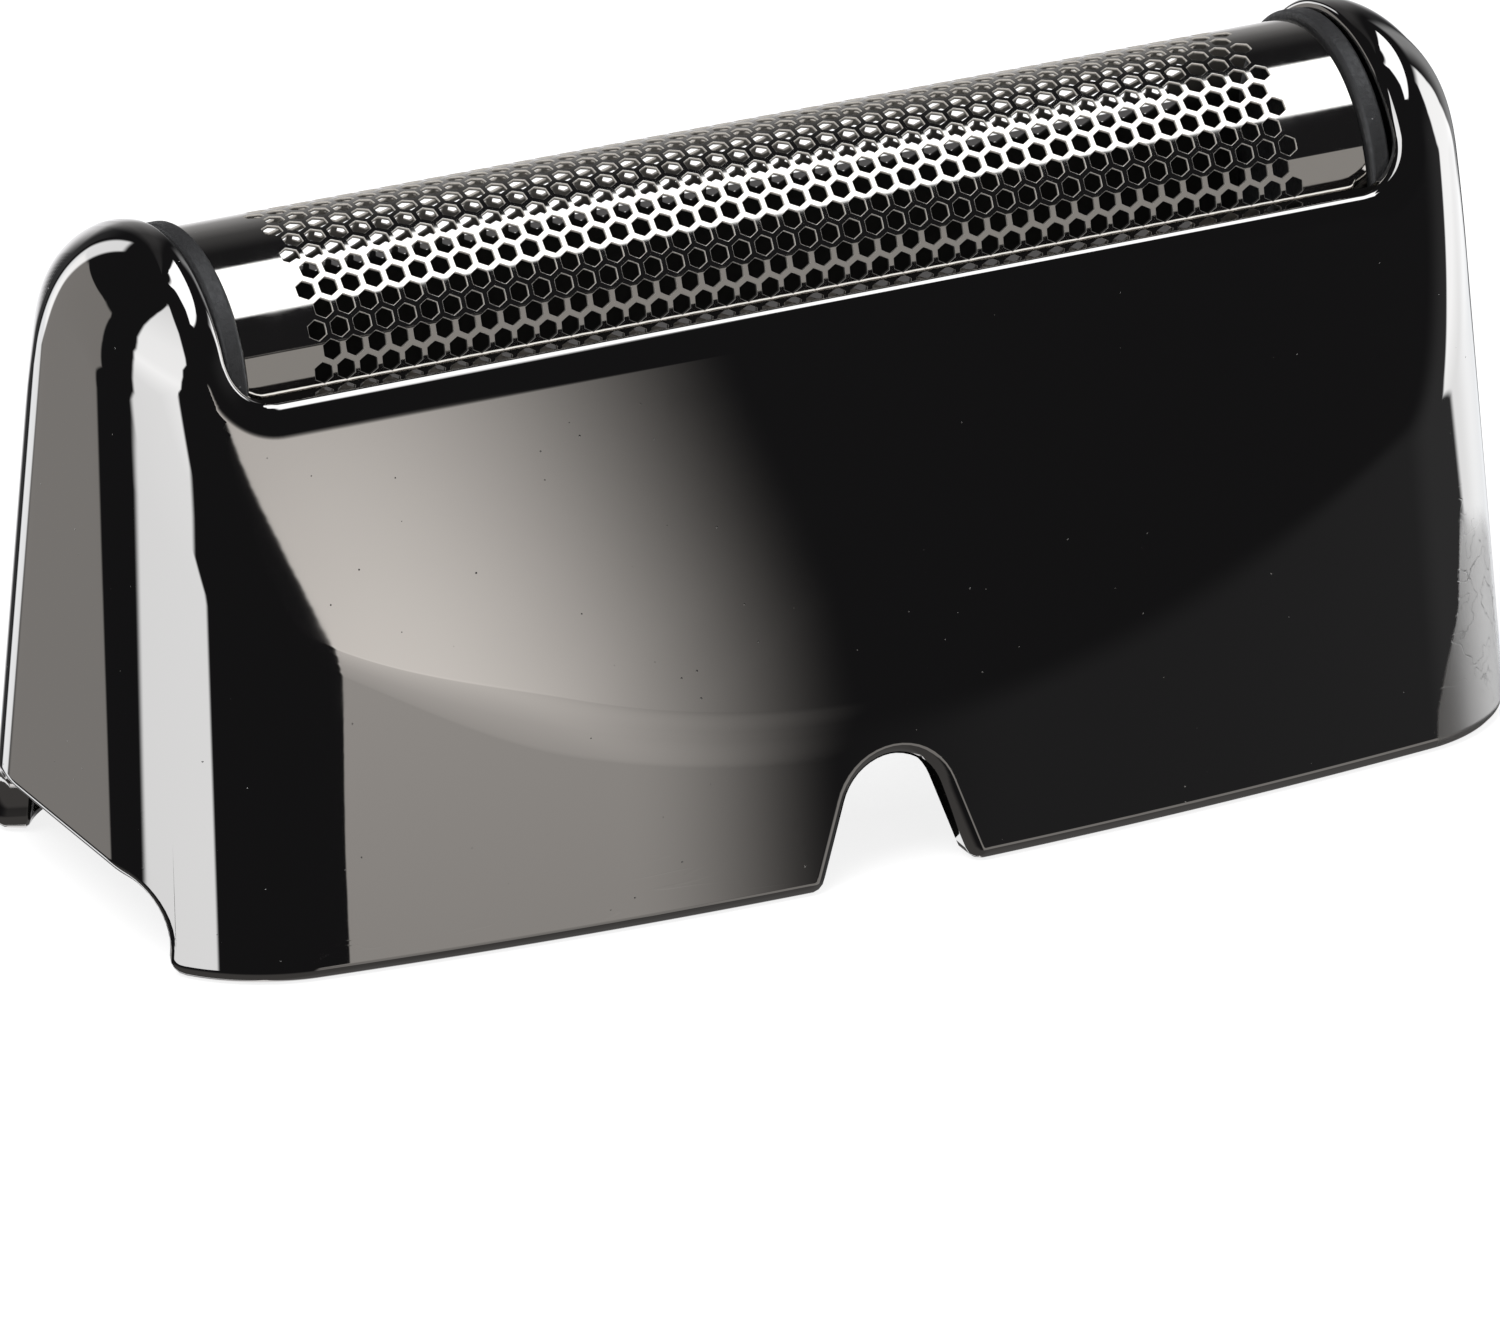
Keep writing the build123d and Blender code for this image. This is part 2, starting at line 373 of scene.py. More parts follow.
    def base_line(self, side):
        """Lower contour of a quarter, from the middle of a side to the middle of the end: notch on the
        front, lower edge, corner and cut-out."""
        steps, sides = self.notch_steps, self.side_steps
        notch_end = self.notch_half + 0.6
        if side < 0:
            middle = np.array([0.0, self.notch_height - self.notch_round])
            foot = np.array([self.notch_half, 0.0])
            gap = foot - middle
            flank = np.arctan2(gap[0], gap[1]) - np.arccos(self.notch_round / np.hypot(gap[0], gap[1]))
            turn = np.linspace(0.0, flank, 30)
            arc = middle + self.notch_round * np.stack([np.sin(turn), np.cos(turn)], -1)
            rest = rounded_path([arc[-1], foot, (2 * notch_end, 0.0)], [0.6])
            notch = evenly(np.vstack([arc, rest[1:-1], [[notch_end, 0.0]]]), steps)
        else:
            notch = evenly(np.array([[0.0, 0.0], [notch_end, 0.0]]), steps)
        xs = np.concatenate([notch[:-1, 0], np.linspace(notch_end, self.corner_x, sides + 1)[:-1]])
        zs = np.concatenate([notch[:-1, 1], np.zeros(sides)])
        flat = np.stack([xs, np.full_like(xs, side * self.half_depth), zs], -1)
        flat, _ = settle(flat, self.outside, np.array([0.0, 1.0, 0.0]))
        turn = np.linspace(0.0, self.corner_turn, self.corner_steps + 1)[:-1]
        ray = np.stack([np.sin(turn), side * np.cos(turn), np.zeros_like(turn)], -1)
        middle = np.array([self.corner_x, side * self.corner_y, 0.0])
        corner, _ = settle(middle + self.corner * ray, self.outside, ray)
        start = 2 * abs(corner[-1, 1]) - abs(corner[-2, 1])
        top = self.cut_height
        corners = [(start, 0.0), (self.cut_half, 0.0), (self.cut_half, top), (0.0, top)]
        cut = evenly(rounded_path(corners, [0.7, 2.1]), self.end_steps + 1)
        end = np.stack([np.full(len(cut), self.half_length), side * cut[:, 0], cut[:, 1]], -1)
        end, _ = settle(end, self.outside, np.array([1.0, 0.0, 0.0]))
        return np.vstack([flat, corner, end])

    def matched(self, points, knots):
        """Points along a line at lengths that are set where the lower contour's stretches end, and blended
        smoothly between them."""
        steps = np.cumsum([0, self.notch_steps - 1, self.side_steps, self.corner_steps, self.end_steps])
        total = run_lengths(points)[-1]
        want = np.interp(np.arange(steps[-1] + 1), steps, np.array(knots + [total]))
        spread = 12
        kernel = np.hanning(2 * spread + 1)
        ends = [2 * want[0] - want[spread:0:-1], want, 2 * want[-1] - want[-2:-spread - 2:-1]]
        want = np.convolve(np.concatenate(ends), kernel / kernel.sum(), "valid")
        want[0], want[-1] = 0.0, total
        return at_lengths(points, want)

    def crease_line(self, side):
        """Line of a quarter on which walls and roof meet before they are rounded: low in the middle of a
        side, up the corner and over the end of the tower, matched to the lower contour.

        A rough line is moved by the shortest step that brings both fields to zero, a few times over.
        """
        x = np.linspace(0.0, 20.5, 120)
        z = 5.6 + 5.9 * (x / 20.5)**2
        y = (self.arch_radius - (z - self.arch_height) * np.sin(self.face_lean)) / np.cos(self.face_lean)
        tower = np.array([(22.6, 7.4, 15.5), (24.6, 6.0, 19.5), (26.0, 4.3, 23.2), (26.4, 0.0, 25.0)])
        rough = evenly(np.vstack([np.stack([x, y, z], -1), tower]), 500) * np.array([1.0, side, 1.0])
        for _ in range(12):
            (a, n_a), (b, n_b) = self.walls(rough), self.roof(rough)
            c = dot(n_a, n_b)
            step = ((a - c * b)[:, None] * n_a + (b - c * a)[:, None] * n_b) / (1 - c * c)[:, None]
            rough = rough - np.clip(step, -1.0, 1.0)
        rough[0, 0], rough[-1, 1] = 0.0, 0.0
        along = run_lengths(rough)
        heading = self.walls(rough)[1]
        corner = np.interp(self.corner_turn, np.arctan2(heading[:, 0], np.abs(heading[:, 1])), along)
        straight = np.interp(21.0, rough[:, 0], along)
        return self.matched(rough, [0.0, 4.4, straight, min(corner, along[-1] - 6.0)])

    def rim_line(self, side):
        """Outer edge of the saddle on a quarter: along the rim, up the corner and over the tower's arch,
        matched to the lower contour."""
        floor_end = self.saddle_half - self.saddle_corner
        x = np.linspace(0.0, floor_end, 200)
        rim = np.stack([x, np.full_like(x, side * 5.9), np.full_like(x, self.rim_height)], -1)
        turn = np.linspace(0.0, np.pi / 2, 40)[1:]
        rise = self.rim_height + self.saddle_corner * (1 - np.cos(turn))
        out = floor_end + self.saddle_corner * np.sin(turn)
        bend = np.stack([out, np.full_like(turn, side * 5.6), rise], -1)
        low, _ = settle(np.vstack([rim, bend]), self.outside, np.array([0.0, 1.0, 0.0]))
        first = np.arctan2(low[-1, 2] - self.arch_height, abs(low[-1, 1]))
        turn = np.linspace(first, np.pi / 2, 80)[1:]
        ray = np.stack([np.zeros_like(turn), side * np.cos(turn), np.sin(turn)], -1)
        middle = np.array([self.saddle_half, 0.0, self.arch_height])
        high, _ = settle(middle + 5.8 * ray, self.outside, ray)
        line = np.vstack([low, high])
        return self.matched(line, [0.0, 4.6, 20.0, run_lengths(line)[-1] - 5.2])

    def loop(self, line):
        """Closed loop from a quarter's line: front to end to back on the right, then mirrored on the left."""
        front, back = line(-1.0), line(1.0)
        right = np.vstack([front, back[::-1][1:]])
        return np.vstack([right, right[::-1][1:-1] * np.array([-1.0, 1.0, 1.0])])

    def grid(self, foil_axis):
        """Grid of points and normals, closed in both directions.

        Its rows run from the rounded lower edge up the outside, over the lip in a fan of rays, back down the
        inside at the wall's thickness, and along the underside to the lower edge again.
        """
        base, edge = self.loop(self.base_line), self.loop(self.rim_line)
        n_base = self.outside(base)[1]
        inward = -unit(n_base * np.array([1.0, 1.0, 0.0]))
        down = unit(np.cross(inward, np.roll(base, -1, 0) - np.roll(base, 1, 0)))
        down = down * np.sign(np.median(-down[:, 2]))
        n_edge, n_rim = self.outside(edge)[1], self.saddle(edge)[1]
        c = dot(n_edge, n_rim)[:, None]
        down_face, across_rim = -unit(n_rim - c * n_edge), -unit(n_edge - c * n_rim)
        axis = base - self.edge * (n_base + down) / (1.0 + dot(n_base, down)[:, None])
        start, _ = settle(axis + self.edge * n_base, self.outside)
        top, _ = settle(edge + 1.7 * down_face, self.outside)
        crease = self.loop(self.crease_line)
        c = dot(self.walls(crease)[1], self.roof(crease)[1])
        radius = self.crease_radius(crease)
        half_width = 1.2 * radius * np.sqrt((1.0 - c) / (1.0 + c))
        heading = unit(np.roll(crease, -1, 0) - np.roll(crease, 1, 0))

        def rounded_share(other, most):
            run = crease - other
            across = np.maximum(np.linalg.norm(run - dot(run, heading)[:, None] * heading, axis=1), 0.3)
            return np.minimum(half_width / across, most)[:, None]

        low_share, high_share = rounded_share(start, 0.75), rounded_share(top, 0.85)
        t = np.linspace(0.0, 1.0, 23)[:-1, None, None]
        u = np.linspace(0.0, 1.0, 19)[:, None, None]
        rise = np.concatenate([t * (1 - low_share), 1 - low_share + u * low_share])
        low = start + (crease - start) * rise
        t = np.linspace(0.0, 1.0, 17)[1:, None, None]
        rise = np.concatenate([u[1:] * high_share, high_share + t * (1 - high_share)])
        high = crease + (top - crease) * rise
        outer, n_outer = settle(np.concatenate([low, high]), self.outside)
        clear = 5.0 + 0.27 * ease(21.6, 22.0, np.abs(edge[:, 0]))
        flat = np.clip(np.hypot(edge[:, 1], edge[:, 2] - foil_axis) - clear, 0.5, 0.95)[:, None]
        core = edge + 1.25 * down_face + 0.8 * flat * across_rim
        k = np.linspace(0.0, 1.0, 23)[1:]
        k = (k + 0.12 * np.sin(2 * np.pi * k))[:, None, None]
        aim = np.where(k < 0.5, top + (edge - top) * (2 * k), edge + flat * across_rim * (2 * k - 1))
        ray = unit(aim - core)
        fan, n_fan = cast(core, self.lip, ray)
        drop = np.stack([fan[-1] - 0.12 * n_rim, fan[-1] - 0.4 * n_rim])
        pick = np.linspace(len(outer) - 1, 0, 26).round().astype(int)
        inner = outer[pick] - self.wall * n_outer[pick]
        turn = np.linspace(0.0, 1.0, 6)[1:][:, None, None]
        n_arc = unit((1 - turn) * n_outer[0] + turn * down)
        arc = axis + self.edge * n_arc
        foot = base + self.wall * inward
        under = np.stack([foot - 0.15 * down, foot - 0.15 * inward])
        n_under = np.stack([unit(down - n_outer[0]), down])
        self.outer_rows = len(outer) + len(fan) + 1
        points = np.concatenate([outer, fan, drop, inner, under, arc[::-1]])
        points[..., 2] = np.maximum(points[..., 2], 0.0)
        n_drop = np.stack([across_rim, across_rim])
        normals = np.concatenate([n_outer, n_fan, n_drop, -n_outer[pick], n_under, n_arc[::-1]])
        return points, normals


def closed_grid_faces(rows, columns):
    """Four-sided faces of a grid that closes on itself in both directions."""
    i, j = np.meshgrid(np.arange(rows), np.arange(columns), indexing="ij")
    right, row, next_row = (j + 1) % columns, i * columns, (i + 1) % rows * columns
    return np.stack([row + j, row + right, next_row + right, next_row + j], -1).reshape(-1, 4)


def capped_grid_faces(rows, columns, first):
    """Faces of a tube grid whose first and last rows are single points: triangles at the poles."""
    j = np.arange(columns)
    right = (j + 1) % columns
    i = np.arange(rows - 1)[:, None] * columns
    tube = np.stack([i + j, i + right, i + columns + right, i + columns + j], -1).reshape(-1, 4)
    start, end = rows * columns, rows * columns + 1
    last = (rows - 1) * columns
    caps = np.concatenate([
        np.stack([right, j, np.full(columns, start)], -1),
        np.stack([last + j, last + right, np.full(columns, end)], -1)])
    return tube + first, caps + first


def rounded_prism(outline, start, end, radius, axis):
    """Prism with rounded rims: a flat convex outline carried along an axis.

    Each ring of the surface is the outline moved in by r(1 - sin v) along its normals at the length
    start + r(1 - cos v), and the same at the far end. The axis is X, Y or Z as 0, 1 or 2, and the outline
    lies in the next two axes in order.
    """
    tangent = np.roll(outline, -1, 0) - np.roll(outline, 1, 0)
    normal = unit(np.stack([tangent[:, 1], -tangent[:, 0]], -1))
    v = np.linspace(0.0, np.pi / 2, 6)
    inset = radius * (1 - np.sin(v))
    away = radius * (1 - np.cos(v))
    inset, place = np.concatenate([inset, inset[::-1]]), np.concatenate([start + away, (end - away)[::-1]])
    lean = np.concatenate([-np.cos(v), np.cos(v[::-1])])
    flat = outline - inset[:, None, None] * normal
    side = np.sqrt(1 - lean**2)[:, None, None] * normal
    rings = np.concatenate([np.broadcast_to(place[:, None, None], flat.shape[:2] + (1,)), flat], -1)
    tilt = np.concatenate([np.broadcast_to(lean[:, None, None], flat.shape[:2] + (1,)), side], -1)
    middle = outline.mean(0)
    poles = np.array([[start, *middle], [end, *middle]])
    points = np.roll(np.vstack([rings.reshape(-1, 3), poles]), axis, -1)
    normals = np.roll(np.vstack([tilt.reshape(-1, 3), [[-1.0, 0.0, 0.0], [1.0, 0.0, 0.0]]]), axis, -1)
    return points, normals, len(place), len(outline)


def add_prism(prism, blocks, tilts, faces):
    """Rounded prism added to a piece's points, normals and faces."""
    points, normals, rings, columns = rounded_prism(*prism)
    faces.extend(capped_grid_faces(rings, columns, sum(map(len, blocks))))
    blocks.append(points)
    tilts.append(normals)


def rounded_rectangle(middle, half, radius):
    """Outline of a rectangle with round corners, anticlockwise."""
    turn = np.linspace(0.0, np.pi / 2, 5)
    quarter = np.arange(4)[:, None] * np.pi / 2
    corner = np.array([[1.0, 1.0], [-1.0, 1.0], [-1.0, -1.0], [1.0, -1.0]])[:, None]
    ring = np.stack([np.cos(quarter + turn), np.sin(quarter + turn)], -1)
    return (np.asarray(middle) + corner * (np.asarray(half) - radius) + radius * ring).reshape(-1, 2)


def put_mesh(name, points, faces, normals, node):
    """New object from points in millimetres, faces and normals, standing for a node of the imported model."""
    mesh = bpy.data.meshes.new(name)
    corners = [row for block in faces for row in block.tolist()]
    mesh.from_pydata((points * 0.001).astype(np.float32), [], corners)
    mesh.polygons.foreach_set("use_smooth", np.ones(len(mesh.polygons), bool))
    mesh.update()
    mesh.normals_split_custom_set_from_vertices(normals.astype(np.float32))
    piece = bpy.data.objects.new(name, mesh)
    bpy.context.scene.collection.objects.link(piece)
    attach(piece, "root")
    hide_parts(node)
    return piece


def put_attribute(piece, name, values):
    """Number for each point of a piece, for its material."""
    piece.data.attributes.new(name, "FLOAT", "POINT").data.foreach_set("value", values.astype(np.float32))


class Wiring:
    """Short forms for adding nodes to a tree and joining them."""

    def __init__(self, tree):
        self.tree = tree
        tree.nodes.clear()

    def add(self, kind, inputs=None, **values):
        """New node with its own values set, and its inputs set to numbers or joined to outputs."""
        node = self.tree.nodes.new(kind)
        for key, value in values.items():
            setattr(node, key, value)
        for key, value in (inputs or {}).items():
            self.feed(node.inputs[key], value)
        return node

    def feed(self, socket, value):
        """Input set to a number or colour, or joined to an output."""
        if isinstance(value, bpy.types.NodeSocket):
            self.tree.links.new(value, socket)
        else:
            socket.default_value = value

    def math(self, operation, *values):
        """Result of a math node."""
        node = self.tree.nodes.new("ShaderNodeMath")
        node.operation = operation
        for socket, value in zip(node.inputs, values):
            self.feed(socket, value)
        return node.outputs[0]

    def step(self, value, start, end, low=0.0, high=1.0):
        """Smooth step of a value between two places."""
        inputs = {"Value": value, "From Min": start, "From Max": end, "To Min": low, "To Max": high}
        return self.add("ShaderNodeMapRange", inputs, interpolation_type="SMOOTHSTEP").outputs[0]

    def times(self, a, b):
        """Product of two values."""
        return self.math("MULTIPLY", a, b)

    def scaled(self, value, factor, offset):
        """Value times a factor, plus an offset."""
        return self.math("MULTIPLY_ADD", value, factor, offset)

    def noise(self, place, scale, detail):
        """Value of a noise texture."""
        inputs = {"Vector": place, "Scale": scale, "Detail": detail}
        return self.add("ShaderNodeTexNoise", inputs).outputs[0]

    def mix(self, share_of_b, a, b):
        """Blend of two colours."""
        node = self.tree.nodes.new("ShaderNodeMix")
        node.data_type = "RGBA"
        self.feed(node.inputs["Factor"], share_of_b)
        self.feed(node.inputs["A"], a)
        self.feed(node.inputs["B"], b)
        return node.outputs["Result"]

    def curve(self, value, points):
        """Value sent through straight runs between the given points, all from 0 to 1."""
        node = self.tree.nodes.new("ShaderNodeFloatCurve")
        self.feed(node.inputs["Value"], value)
        curve = node.mapping.curves[0]
        for _ in points[2:]:
            curve.points.new(0.5, 0.5)
        for point, place in zip(curve.points, points):
            point.location = place
            point.handle_type = "VECTOR"
        node.mapping.update()
        return node.outputs[0]


VECTOR, NUMBER, COLOUR = "NodeSocketVector", "NodeSocketFloat", "NodeSocketColor"


def new_group(name, inputs, outputs):
    """Empty shader group with named number or vector sockets, and its wiring."""
    group = bpy.data.node_groups.new(name, "ShaderNodeTree")
    for label, kind in inputs:
        group.interface.new_socket(label, in_out="INPUT", socket_type=kind)
    for label, kind in outputs:
        group.interface.new_socket(label, in_out="OUTPUT", socket_type=kind)
    wiring = Wiring(group)
    return group, wiring, wiring.add("NodeGroupInput").outputs, wiring.add("NodeGroupOutput").inputs


def dust_group():
    """Dust specks: round spots at some of the cells of a Voronoi pattern, of uneven size."""
    name = "Dust specks"
    if name in bpy.data.node_groups:
        return bpy.data.node_groups[name]
    inputs = [("Place", VECTOR), ("Cells per metre", NUMBER), ("Share", NUMBER)]
    group, net, given, out = new_group(name, inputs, [("Mask", NUMBER)])
    cells = net.add("ShaderNodeTexVoronoi", {"Vector": given["Place"], "Scale": given["Cells per metre"]})
    parts = net.add("ShaderNodeSeparateColor", {"Color": cells.outputs["Color"]}).outputs
    chosen = net.math("LESS_THAN", parts[0], given["Share"])
    reach = net.scaled(parts[1], 0.10, 0.04)
    spot = net.step(cells.outputs["Distance"], reach, net.times(reach, 0.4))
    net.feed(out["Mask"], net.times(chosen, spot))
    return group


def ripple_group():
    """Fine ripple: two sizes of soft noise added, for the unevenness of a moulded or rolled surface."""
    name = "Fine ripple"
    if name in bpy.data.node_groups:
        return bpy.data.node_groups[name]
    inputs = [("Place", VECTOR), ("Waves per metre", NUMBER), ("Fine share", NUMBER)]
    group, net, given, out = new_group(name, inputs, [("Height", NUMBER)])
    broad = net.noise(given["Place"], given["Waves per metre"], 1.0)
    fine = net.noise(given["Place"], net.times(given["Waves per metre"], 5.3), 2.0)
    net.feed(out["Height"], net.scaled(fine, given["Fine share"], broad))
    return group


def scratch_group():
    """Scratches: thin bright lines where stretched noise crosses its middle value, broken up by a second
    noise."""
    name = "Handling scratches"
    if name in bpy.data.node_groups:
        return bpy.data.node_groups[name]
    inputs = [("Place", VECTOR), ("Amount", NUMBER)]
    group, net, given, out = new_group(name, inputs, [("Mask", NUMBER)])
    turn = {"Vector": given["Place"], "Rotation": (0.5, 0.9, 0.3), "Scale": (60.0, 1500.0, 900.0)}
    lines = net.noise(net.add("ShaderNodeMapping", turn).outputs[0], 1.0, 2.0)
    off = net.math("ABSOLUTE", net.math("SUBTRACT", lines, 0.5))
    thin = net.step(off, 0.016, 0.004)
    patch = net.noise(given["Place"], 260.0, 2.0)
    broken = net.step(patch, net.math("SUBTRACT", 0.72, given["Amount"]), 0.78)
    net.feed(out["Mask"], net.times(thin, broken))
    return group


def new_material(name):
    """Material with wiring, a shader and the object's own coordinates."""
    material = bpy.data.materials.new(name)
    material.use_nodes = True
    net = Wiring(material.node_tree)
    shader = net.add("ShaderNodeBsdfPrincipled")
    net.feed(net.add("ShaderNodeOutputMaterial").inputs["Surface"], shader.outputs[0])
    place = net.add("ShaderNodeTexCoord").outputs["Object"]
    return material, net, shader.inputs, place


def place_group(net, group, inputs):
    """Group node with its inputs set, and its first output."""
    node = net.add("ShaderNodeGroup", node_tree=group)
    for key, value in inputs.items():
        net.feed(node.inputs[key], value)
    return node.outputs[0]


def plating_material(settings):
    """Dark bright plating on moulded plastic: mirror-like, faintly rippled, with dust and wiping marks, and
    scuffed at one lower corner."""
    material, net, shader, place = new_material("hood_plating_bright")
    dust = place_group(net, dust_group(), {"Place": place, "Cells per metre": 3200.0, "Share": 0.045})
    ripple = place_group(net, ripple_group(), {"Place": place, "Waves per metre": 230.0, "Fine share": 0.12})
    scratch = place_group(net, scratch_group(), {"Place": place, "Amount": 0.3})
    wear = net.add("ShaderNodeAttribute", attribute_name="edge_wear").outputs["Fac"]
    worn = net.times(scratch, wear)
    plating = (*settings.plating, 1.0)
    dusty = net.mix(net.times(dust, 0.5), plating, (0.78, 0.77, 0.75, 1.0))
    inner = net.add("ShaderNodeAttribute", attribute_name="inner_side").outputs["Fac"]
    bright = net.mix(net.times(worn, 0.5), dusty, (0.72, 0.71, 0.70, 1.0))
    net.feed(shader["Base Color"], net.mix(inner, bright, (0.022, 0.022, 0.023, 1.0)))
    net.feed(shader["Metallic"], net.math("SUBTRACT", 1.0, inner))
    smear = net.noise(place, 150.0, 4.0)
    clean = net.scaled(net.step(smear, 0.45, 0.75), 0.012, settings.gloss_loss)
    marked = net.scaled(dust, 0.4, clean)
    used = net.scaled(worn, 0.35, marked)
    hazed = net.scaled(net.step(wear, 0.3, 1.0), 0.36, used)
    net.feed(shader["Roughness"], net.scaled(inner, 0.45, hazed))
    height = net.scaled(dust, 10.0, net.scaled(worn, -7.0, ripple))
    bump = net.add("ShaderNodeBump", {"Height": height, "Strength": 1.0, "Distance": 0.0000003})
    net.feed(shader["Normal"], bump.outputs[0])
    return material


def foil_material(settings):
    """Bright warm electroformed metal with a faint unevenness and a few dust specks. The lowest rows are
    shaded as if they stood upright, and the inner side is matt, with painted shade darkening it downwards."""
    material, net, shader, place = new_material("foil_metal_bright")
    dust = place_group(net, dust_group(), {"Place": place, "Cells per metre": 2400.0, "Share": 0.03})
    ripple = place_group(net, ripple_group(), {"Place": place, "Waves per metre": 520.0, "Fine share": 0.25})
    metal = (*settings.metal, 1.0)
    inner = net.add("ShaderNodeAttribute", attribute_name="inner_side").outputs["Fac"]
    bright = net.mix(net.times(dust, 0.6), metal, (0.35, 0.34, 0.33, 1.0))
    parts = net.add("ShaderNodeSeparateXYZ", {"Vector": place}).outputs
    # Painted shade on the inner side: near black at the rim's height, pale warm grey near the top, as if lit
    # from above through the holes
    painted_light_by_height = net.step(parts[2], 0.0200, 0.0228)
    lining = net.mix(painted_light_by_height, (0.012, 0.011, 0.010, 1.0), (0.50, 0.47, 0.43, 1.0))
    net.feed(shader["Base Color"], net.mix(inner, bright, lining))
    net.feed(shader["Metallic"], net.scaled(inner, -0.75, 1.0))
    smear = net.noise(place, 700.0, 3.0)
    outer = net.scaled(net.step(smear, 0.4, 0.7), 0.05, settings.gloss_loss)
    net.feed(shader["Roughness"], net.scaled(inner, 0.6, outer))
    rise = net.math("SUBTRACT", parts[2], settings.axis_height)
    bend = net.math("ARCTAN2", net.math("ABSOLUTE", parts[1]), rise)
    left_over = net.math("MAXIMUM", net.math("SUBTRACT", 1.5708, bend), 0.0)
    lean = net.times(left_over, net.step(bend, 1.165, 1.195))
    lean = net.times(lean, net.times(net.math("SIGN", parts[1]), -1.0))
    normal = net.add("ShaderNodeNewGeometry").outputs["Normal"]
    turned = net.add("ShaderNodeVectorRotate", {"Vector": normal, "Angle": lean}, rotation_type="X_AXIS")
    inputs = {"Height": ripple, "Strength": 1.0, "Distance": 0.0000015, "Normal": turned.outputs[0]}
    net.feed(shader["Normal"], net.add("ShaderNodeBump", inputs).outputs[0])
    return material


def carrier_material(settings):
    """Black moulded plastic with a fine spark-eroded grain and a few pale dust specks."""
    material, net, shader, place = new_material("carrier_plastic_grained")
    dust = place_group(net, dust_group(), {"Place": place, "Cells per metre": 2400.0, "Share": 0.05})
    grain = place_group(net, ripple_group(), {"Place": place, "Waves per metre": 5200.0, "Fine share": 0.5})
    plastic = (*settings.plastic, 1.0)
    net.feed(shader["Base Color"], net.mix(net.times(dust, 0.7), plastic, (0.22, 0.22, 0.22, 1.0)))
    matt = settings.gloss_loss
    net.feed(shader["Roughness"], net.step(grain, 0.4, 1.1, matt - 0.1, matt + 0.12))
    shader["Specular IOR Level"].default_value = 0.8
    bump = net.add("ShaderNodeBump", {"Height": grain, "Strength": 0.5, "Distance": 0.00004})
    net.feed(shader["Normal"], bump.outputs[0])
    return material


class FOILHEAD_OT_hood(Operator):
    """Plated hood with its two inner ledges"""

    bl_idname = "foilhead.hood"
    bl_label = "Hood"

    def execute(self, context):
        settings, carrier = context.scene.foilhead_hood, context.scene.foilhead_carrier
        form = HoodForm(settings)
        points, normals = form.grid(mm(context.scene.foilhead_foil.axis_height))
        rows, columns = points.shape[:2]
        height = points[..., 2]
        wear = 0.25 * np.exp(-np.linalg.norm(points - points[0], axis=-1) / 0.9) * (height < 6.0)
        heading = np.degrees(np.arctan2(normals[..., 0], -normals[..., 1]))
        bound = np.interp(height, [0.5, 1.5, 3.0, 5.0, 7.0, 10.0], [6.5, 7.0, 12.0, 21.0, 24.0, 26.0])
        scuffed = ease(0.0, 5.0, heading - bound) * (1.0 - ease(45.0, 70.0, heading))
        wear = wear + scuffed * (1.0 - ease(6.0, 10.5, height)) * (points[..., 0] > 18.0)
        inside = np.zeros((rows, columns))
        inside[form.outer_rows:-8] = 1.0
        blocks = [points.reshape(-1, 3)]
        tilts = [normals.reshape(-1, 3)]
        faces = [closed_grid_faces(rows, columns)]
        level = mm(carrier.foot_height)
        near = mm(carrier.cheek_inner + carrier.cheek_thickness + carrier.lug_length) - 0.9
        far = form.half_length - form.wall
        outline = rounded_rectangle((0.0, level - 0.6), (mm(carrier.lug_width) / 2, 0.6), 0.2)
        for start, end in ((near, far), (-far, -near)):
            add_prism((outline, start, end, 0.15, 0), blocks, tilts, faces)
        points, normals = np.vstack(blocks), np.vstack(tilts)
        piece = put_mesh("hood_shell", points, faces, normals, "outer_frame")
        rest = sum(map(len, blocks[1:]))
        put_attribute(piece, "edge_wear", np.concatenate([wear.ravel(), np.zeros(rest)]))
        put_attribute(piece, "inner_side", np.concatenate([inside.ravel(), np.ones(rest)]))
        piece.data.materials.append(plating_material(settings))
        return {"FINISHED"}


def six_sided(width, corner):
    """Twelve points of a six-sided outline with its flats towards +X and -X: the flats' middles lie at half
    the width, and the corners at a share of the sharp corner's distance."""
    turn = np.arange(12) * np.pi / 6
    far = np.where(np.arange(12) % 2 == 0, width / 2, corner * width / 2 / np.cos(np.pi / 6))
    return far[:, None] * np.stack([np.cos(turn), np.sin(turn)], -1)


